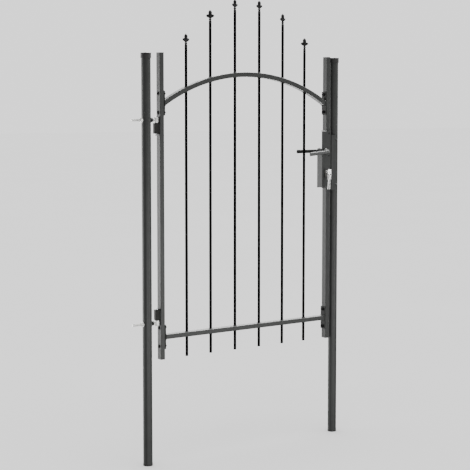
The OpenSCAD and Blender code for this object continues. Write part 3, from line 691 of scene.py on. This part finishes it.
def eye(shape, place, outer, bore, height):
    """Forged eye: a short barrel with rounded rims and a chamfered bore, made along Z."""
    half = height / 2
    soft = 2.4 * MM
    profile = [(bore, -half + 0.8 * MM), (bore + 0.8 * MM, -half)]
    profile += arc(outer - soft, -half + soft, soft, -90, 0, 6)
    profile += arc(outer - soft, half - soft, soft, 0, 90, 6)
    profile += [(bore + 0.8 * MM, half), (bore, half - 0.8 * MM)]
    shape.lathe(profile, place, 48, capped=False)


def eyebolt(node):
    """Threaded shank through the hinge post, a flared neck and the eye on its end."""
    lo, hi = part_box(node)
    z = (lo.z + hi.z) / 2
    outer = (hi.y - lo.y) / 2
    pin_x = hi.x - outer
    shape = Shape()
    neck_x = pin_x - outer - 1.5 * MM
    threaded_rod(shape, neck_x - lo.x, ROD_R, ROD_PITCH, along_x(neck_x, 0, z, True))
    neck = [(ROD_R * 0.92, 0.0), (ROD_R * 0.95, 0.8 * MM), (ROD_R * 1.02, 2.0 * MM), (ROD_R * 1.12, 3.5 * MM),
            (ROD_R * 1.3, 5.2 * MM), (ROD_R * 1.3, 6.0 * MM)]
    shape.lathe(neck, along_x(neck_x, 0, z), 36)
    eye(shape, Matrix.Translation((pin_x, 0, z)), outer, EYE_BORE, hi.z - lo.z)
    shape.piece(f"{node}_threaded", "root", ZINC, "zinc", [node], 42)


def rod_fixings():
    """Nuts and washers: bright outside the post, black between the post and the leaf."""
    outer, inner, rings = Shape(), Shape(), Shape()
    for number, node in enumerate(("upper_eyebolt", "lower_eyebolt")):
        z = middle(node).z
        for flip, nuts, spin in ((True, outer, 0.25), (False, inner, 0.8)):
            way = -1 if flip else 1
            turn = Matrix.Rotation(spin + number, 4, "Z")
            face = way * (POST_R + WASHER_T)
            hex_nut(nuts, ROD_NUT_ACROSS, ROD_NUT_H, ROD_R + THREAD_GAP, along_x(face, 0, z, flip) @ turn)
            flat_washer(rings if flip else nuts, WASHER_R, WASHER_BORE, WASHER_T,
                        along_x(way * POST_R, 0, z, flip))
    outer.piece("eyebolt_nuts_outer", "root", ZINC, "zinc", ["eyebolt_nuts"], 30)
    inner.piece("eyebolt_nuts_inner", "root", BLACK_STEEL, "black_screw",
                ["eyebolt_nuts", "eyebolt_washers"], 30)
    rings.piece("eyebolt_washers_outer", "root", ZINC, "zinc", ["eyebolt_washers"], 30)


for bolt in ("upper_eyebolt", "lower_eyebolt"):
    eyebolt(bolt)
rod_fixings()


# ---------------------------------------------------------------- levers

LEVER_HALF = 8.5 * MM
LEVER_HALF_DEEP = 5.5 * MM
LEVER_DROP = 11 * MM
LEVER_ELBOW = 13 * MM


def lever(node, name, front):
    """Lever: a flared neck that bends into a long soft-edged grip."""
    lo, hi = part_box(node)
    axis_x = middle("spindle").x
    axis_z = middle("spindle").z
    sign = -1 if front else 1
    base_y = hi.y if front else lo.y
    grip_y = (lo.y + LEVER_HALF_DEEP) if front else (hi.y - LEVER_HALF_DEEP)
    tip_x = lo.x
    drop = min(axis_z - LEVER_HALF - lo.z, LEVER_DROP) if front else 0.0
    neck_y = base_y + sign * 13 * MM
    route, sizes = [], []
    for k in range(4):
        t = k / 3
        y = neck_y + (grip_y - sign * LEVER_ELBOW * 0.75 - neck_y) * t
        route.append(Vector((axis_x, y, axis_z)))
        sizes.append((8.6, 8.6, 2.0))
    for k in range(1, 11):
        a = math.pi / 2 * k / 10
        x = axis_x - LEVER_ELBOW * (1 - math.cos(a))
        y = grip_y - sign * LEVER_ELBOW * 0.75 * (1 - math.sin(a))
        t = k / 10
        route.append(Vector((x, y, axis_z)))
        sizes.append((8.6, 8.6 - 3.2 * t, 2.0 + 0.25 * t))
    start_x = axis_x - LEVER_ELBOW
    steps = 16
    for k in range(1, steps + 1):
        t = k / steps
        x = start_x + (tip_x + 2.2 * MM - start_x) * t
        fall = drop * (x - axis_x) / (tip_x - axis_x)
        route.append(Vector((x, grip_y, axis_z - fall)))
        waist = math.sin(math.pi * min(1.0, t * 1.1))
        sizes.append((8.5 - 0.5 * waist, 5.4 - 0.5 * waist, 2.25))
    for inset, shrink in ((1.3, 0.88), (0.5, 0.66), (0.0, 0.28)):
        route.append(Vector((tip_x + inset * MM, grip_y, axis_z - drop)))
        sizes.append((8.5 * shrink, 5.4 * shrink, 2.6))
    rings = []
    for i, p in enumerate(route):
        ahead = route[min(i + 1, len(route) - 1)] - route[max(i - 1, 0)]
        way = Vector((ahead.x, ahead.y, 0)).normalized()
        side = Vector((way.y, -way.x, 0))
        tall, deep, power = sizes[i]
        rings.append([p + Vector((0, 0, u * MM)) + side * (v * MM)
                      for u, v in superellipse(tall, deep, power, 32)])
    shape = Shape()
    shape.grid(rings)
    flare = [(14.6, 0.0), (15.6, 0.2), (16.0, 0.9), (15.9, 1.9), (15.2, 3.6), (14.0, 5.8), (12.7, 8.0),
             (11.4, 10.4), (10.3, 12.8), (9.5, 15.2), (9.0, 17.6), (8.75, 19.5), (7.6, 20.4)]
    shape.lathe([(r * MM, z * MM) for r, z in flare], along_y(axis_x, base_y, axis_z, not front), 56)
    # The back lever gets the darker plate coat as painted shade for its shaded side; the front lever keeps
    # the lever's own satin coat.
    shape.piece(name, "levers", LEVER_COAT if front else PLATE_AND_BACK_LEVER_SHADE_COAT, "powder_coat", [node], 50)


lever("front_lever", "front_lever_forged", True)
lever("back_lever", "back_lever_forged", False)


# ---------------------------------------------------------------- keys and ring

KEY_T = 2.2 * MM
# the key's outline is in millimetres from the middle of the hole in its bow
BOW_HALF = 12.5
BOW_TO_STOP = 26.0
BLADE_END = 54.0
HOLE_R = 3.0
RING_WIRE_R = 0.5 * MM
RING_HALF_T = 0.8 * MM
RING_TURNS = 1.93
SPARE_HANG = 1.7 * MM
SPARE_TURN = -12
# (sideways shift in mm, lift in mm, lean in degrees, cuts) of each spare key on the ring
SPARES = ((0, 0, 0, (2.6, 1.0, 2.0, 1.4, 2.8)), (-4.1, 0.3, 6, (1.6, 2.8, 1.2, 2.2, 1.0)))


def flat_key(shape, place, cuts=(1.2, 2.4, 1.6, 3.0, 2.0)):
    """Flat key in the YZ plane about its hole: bow, shouldered neck and a bitted blade."""
    top_z, foot_z = 3.9, -3.9
    bow = []
    for k in range(33):
        a = math.radians(28 + 304 * k / 32)
        c, s = math.cos(a), math.sin(a)
        r = BOW_HALF / (abs(c) ** 2.7 + abs(s) ** 2.7) ** (1 / 2.7)
        bow.append((r * c, r * s))
    neck = [(BOW_HALF + 2, 4.8), (BOW_HALF + 5, 4.3), (BOW_TO_STOP - 4, 4.3), (BOW_TO_STOP - 3, 5.6),
            (BOW_TO_STOP - 0.8, 5.6), (BOW_TO_STOP - 0.8, top_z)]
    top = list(neck)
    step = (BLADE_END - BOW_TO_STOP - 5) / len(cuts)
    at = BOW_TO_STOP + 1
    for cut in cuts:
        top += [(at + step * 0.2, top_z), (at + step * 0.42, top_z - cut),
                (at + step * 0.66, top_z - cut), (at + step * 0.9, top_z)]
        at += step
    top += [(BLADE_END - 3.0, top_z - 0.2), (BLADE_END - 0.6, 0.6), (BLADE_END, -0.4)]
    foot = [(BLADE_END - 1.2, foot_z + 1.2), (BLADE_END - 2.6, foot_z)]
    foot += [(y, -z) for y, z in reversed(neck)]
    outline = top + foot + list(reversed(bow))
    hole = [(HOLE_R * math.cos(TAU * k / 20), HOLE_R * math.sin(TAU * k / 20)) for k in range(20)]
    plate(shape, place, outline, [hole], KEY_T / 2, 0.35 * MM)


def plate(shape, place, outline, holes, half, soft):
    """Closed plate in the YZ plane with softened edges. Outline and holes are in millimetres."""
    work = bmesh.new()
    edges = []
    for loop in [outline] + holes:
        verts = [work.verts.new((0, y * MM, z * MM)) for y, z in loop]
        edges += [work.edges.new((verts[k], verts[(k + 1) % len(verts)])) for k in range(len(verts))]
    bmesh.ops.triangle_fill(work, use_beauty=True, use_dissolve=False, edges=edges)
    made = bmesh.ops.extrude_face_region(work, geom=work.faces[:])
    moved = [v for v in made["geom"] if isinstance(v, bmesh.types.BMVert)]
    bmesh.ops.translate(work, verts=moved, vec=(2 * half, 0, 0))
    bmesh.ops.translate(work, verts=work.verts[:], vec=(-half, 0, 0))
    bmesh.ops.recalc_face_normals(work, faces=work.faces[:])
    rim = [e for e in work.edges if len(e.link_faces) == 2
           and abs(e.calc_face_angle(0)) > math.radians(60)
           and abs(e.verts[0].co.x - e.verts[1].co.x) < half]
    bmesh.ops.bevel(work, geom=rim, offset=soft, segments=2, profile=0.6, affect="EDGES",
                    clamp_overlap=True)
    bmesh.ops.transform(work, matrix=place, verts=work.verts[:])
    data = bpy.data.meshes.new("work")
    work.to_mesh(data)
    work.free()
    shape.mesh.from_mesh(data)
    bpy.data.meshes.remove(data)


def key_in_lock():
    """The key in the lock. Returns the middle of the hole in its bow."""
    lo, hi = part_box("key")
    hole = Vector(((lo.x + hi.x) / 2, lo.y + BOW_HALF * MM, (lo.z + hi.z) / 2))
    shape = Shape()
    flat_key(shape, Matrix.Translation(hole))
    shape.piece("key_cut", "key_set", NICKEL, "nickel", ["key"], 30)
    return hole


def spare_keys(hole, ring, ring_r):
    """Two keys that hang down from the ring, side by side."""
    shape = Shape()
    hang_z = ring.z - ring_r - SPARE_HANG
    turn = Matrix.Rotation(math.radians(SPARE_TURN), 4, "Z")
    for shift, lift, lean, cuts in SPARES:
        place = Matrix.Translation((hole.x + 1.5 * MM, hole.y, hang_z + lift * MM)) @ turn
        place = place @ Matrix.Translation((shift * MM, 0, 0)) @ Matrix.Rotation(math.radians(lean), 4, "Y")
        flat_key(shape, place @ Matrix.Rotation(-math.pi / 2, 4, "X"), cuts)
    shape.piece("spare_keys_cut", "spares", NICKEL, "nickel", ["spare_keys"], 30)


def split_ring(ring, ring_r):
    """Coil of almost two turns of wire."""
    shape = Shape()
    points = []
    steps = 110
    for k in range(steps + 1):
        a = -math.pi / 2 + TAU * RING_TURNS * k / steps
        shift = (k / steps - 0.5) * 1.0 * MM
        points.append(Vector((ring.x + ring_r * math.cos(a), ring.y + shift, ring.z + ring_r * math.sin(a))))
    tube_along(shape, points, [RING_WIRE_R] * len(points))
    shape.piece("key_ring_coil", "key_set", NICKEL, "nickel", ["key_ring"], 60)


KEY_HOLE = key_in_lock()
RING = middle("key_ring")
RING_R = (high("key_ring").z - low("key_ring").z) / 2 - RING_HALF_T
spare_keys(KEY_HOLE, RING, RING_R)
split_ring(RING, RING_R)


# ---------------------------------------------------------------- stage, light and camera

# strength of the background that the camera sees, and of the room light that falls on the gate
WHITE = 1.5
ROOM = 0.45
FLOOR_PALE = 0.89
FLOOR_SUN = (WHITE / FLOOR_PALE - ROOM) * math.pi


def floor():
    """Pale floor that only the camera sees, so that it doesn't light the gate from below."""
    data = bpy.data.meshes.new("floor")
    size = 60.0
    corners = [(-size, -size, 0), (size, -size, 0), (size, size, 0), (-size, size, 0)]
    data.from_pydata(corners, [], [(0, 1, 2, 3)])
    made = bpy.data.objects.new("floor", data)
    bpy.context.scene.collection.objects.link(made)
    material, tree, bsdf = shader("pale_floor")
    cloud = object_noise(tree, 0.6, 3)
    tint = ramp(tree, cloud.outputs["Fac"], [(0.3, FLOOR_PALE - 0.01), (0.7, FLOOR_PALE + 0.01)])
    tree.links.new(tint.outputs["Color"], bsdf.inputs["Base Color"])
    bsdf.inputs["Roughness"].default_value = 0.9
    data.materials.append(material)
    made.visible_diffuse = False
    made.visible_glossy = False
    made.visible_shadow = False
    return made


def light(name, kind, place, aim, power, lit):
    """Lamp that lights only one collection and isn't seen itself."""
    data = bpy.data.lights.new(name, kind)
    data.energy = power
    made = bpy.data.objects.new(name, data)
    made.visible_camera = False
    made.light_linking.receiver_collection = lit
    made.location = place
    made.rotation_mode = "QUATERNION"
    made.rotation_quaternion = (Vector(aim) - Vector(place)).to_track_quat("-Z", "Y")
    bpy.context.scene.collection.objects.link(made)
    return made


def area_light(name, place, aim, size, power, lit, tall=None):
    """Rectangular soft light, square unless its second side is given."""
    made = light(name, "AREA", place, aim, power, lit)
    made.data.shape = "RECTANGLE"
    made.data.size = size
    made.data.size_y = tall or size


def lights(ground):
    """World, soft lights on the gate alone, and an even wash on the floor alone."""
    world = bpy.data.worlds.new("studio")
    bpy.context.scene.world = world
    world.use_nodes = True
    tree = world.node_tree
    room = tree.nodes["Background"]
    room.inputs["Color"].default_value = (1.0, 1.0, 1.0, 1)
    room.inputs["Strength"].default_value = ROOM
    white = add(tree, "ShaderNodeBackground", Strength=WHITE)
    white.inputs["Color"].default_value = (1.0, 1.0, 1.0, 1)
    path = add(tree, "ShaderNodeLightPath")
    mix = add(tree, "ShaderNodeMixShader")
    tree.links.new(path.outputs["Is Camera Ray"], mix.inputs[0])
    tree.links.new(room.outputs[0], mix.inputs[1])
    tree.links.new(white.outputs[0], mix.inputs[2])
    tree.links.new(mix.outputs[0], tree.nodes["World Output"].inputs["Surface"])
    gate_only = bpy.data.collections.new("gate_only")
    floor_only = bpy.data.collections.new("floor_only")
    for piece in bpy.context.scene.objects:
        if piece.type == "MESH":
            (floor_only if piece is ground else gate_only).objects.link(piece)
    gate = (0.5, 0.0, 1.1)
    area_light("left_back_panel", (-2.8, 3.4, 0.7), gate, 2.6, 150, gate_only, 2.4)
    area_light("backdrop_glow", (3.4, 5.2, 3.3), gate, 4.0, 300, gate_only, 3.6)
    area_light("overhead_box", (1.8, 0.6, 4.0), gate, 3.2, 600, gate_only)
    area_light("right_strip", (4.2, -1.1, 1.3), gate, 0.8, 18, gate_only, 3.0)
    area_light("low_front_fill", (1.7, -3.4, 0.3), (0.8, 0.0, 0.4), 1.6, 40, gate_only, 0.6)
    area_light("low_left_fill", (-0.9, -2.6, 0.15), (0.5, 0.0, 0.1), 1.4, 26, gate_only, 0.3)
    area_light("floor_bounce", (3.0, 5.0, -0.9), gate, 4.0, 160, gate_only, 1.8)
    wash = light("floor_wash", "SUN", (0, 0, 6), (0, 0, 0), FLOOR_SUN, floor_only)
    wash.data.angle = math.radians(80)


CAMERA_PLACE = (-2.60461, -4.48632, 1.52525)
CAMERA_YAW = 34.236
CAMERA_PITCH = 4.427
CAMERA_LENS = 94.805
CAMERA_SHIFT = -0.07


def camera():
    """Camera fitted to the photograph's view."""
    data = bpy.data.cameras.new("camera")
    data.sensor_width = 36
    data.lens = CAMERA_LENS
    data.shift_y = CAMERA_SHIFT
    data.clip_start, data.clip_end = 0.05, 200
    made = bpy.data.objects.new("camera", data)
    made.location = CAMERA_PLACE
    made.rotation_euler = (math.radians(90 - CAMERA_PITCH), 0, math.radians(-CAMERA_YAW))
    bpy.context.scene.collection.objects.link(made)
    bpy.context.scene.camera = made


lights(floor())
camera()
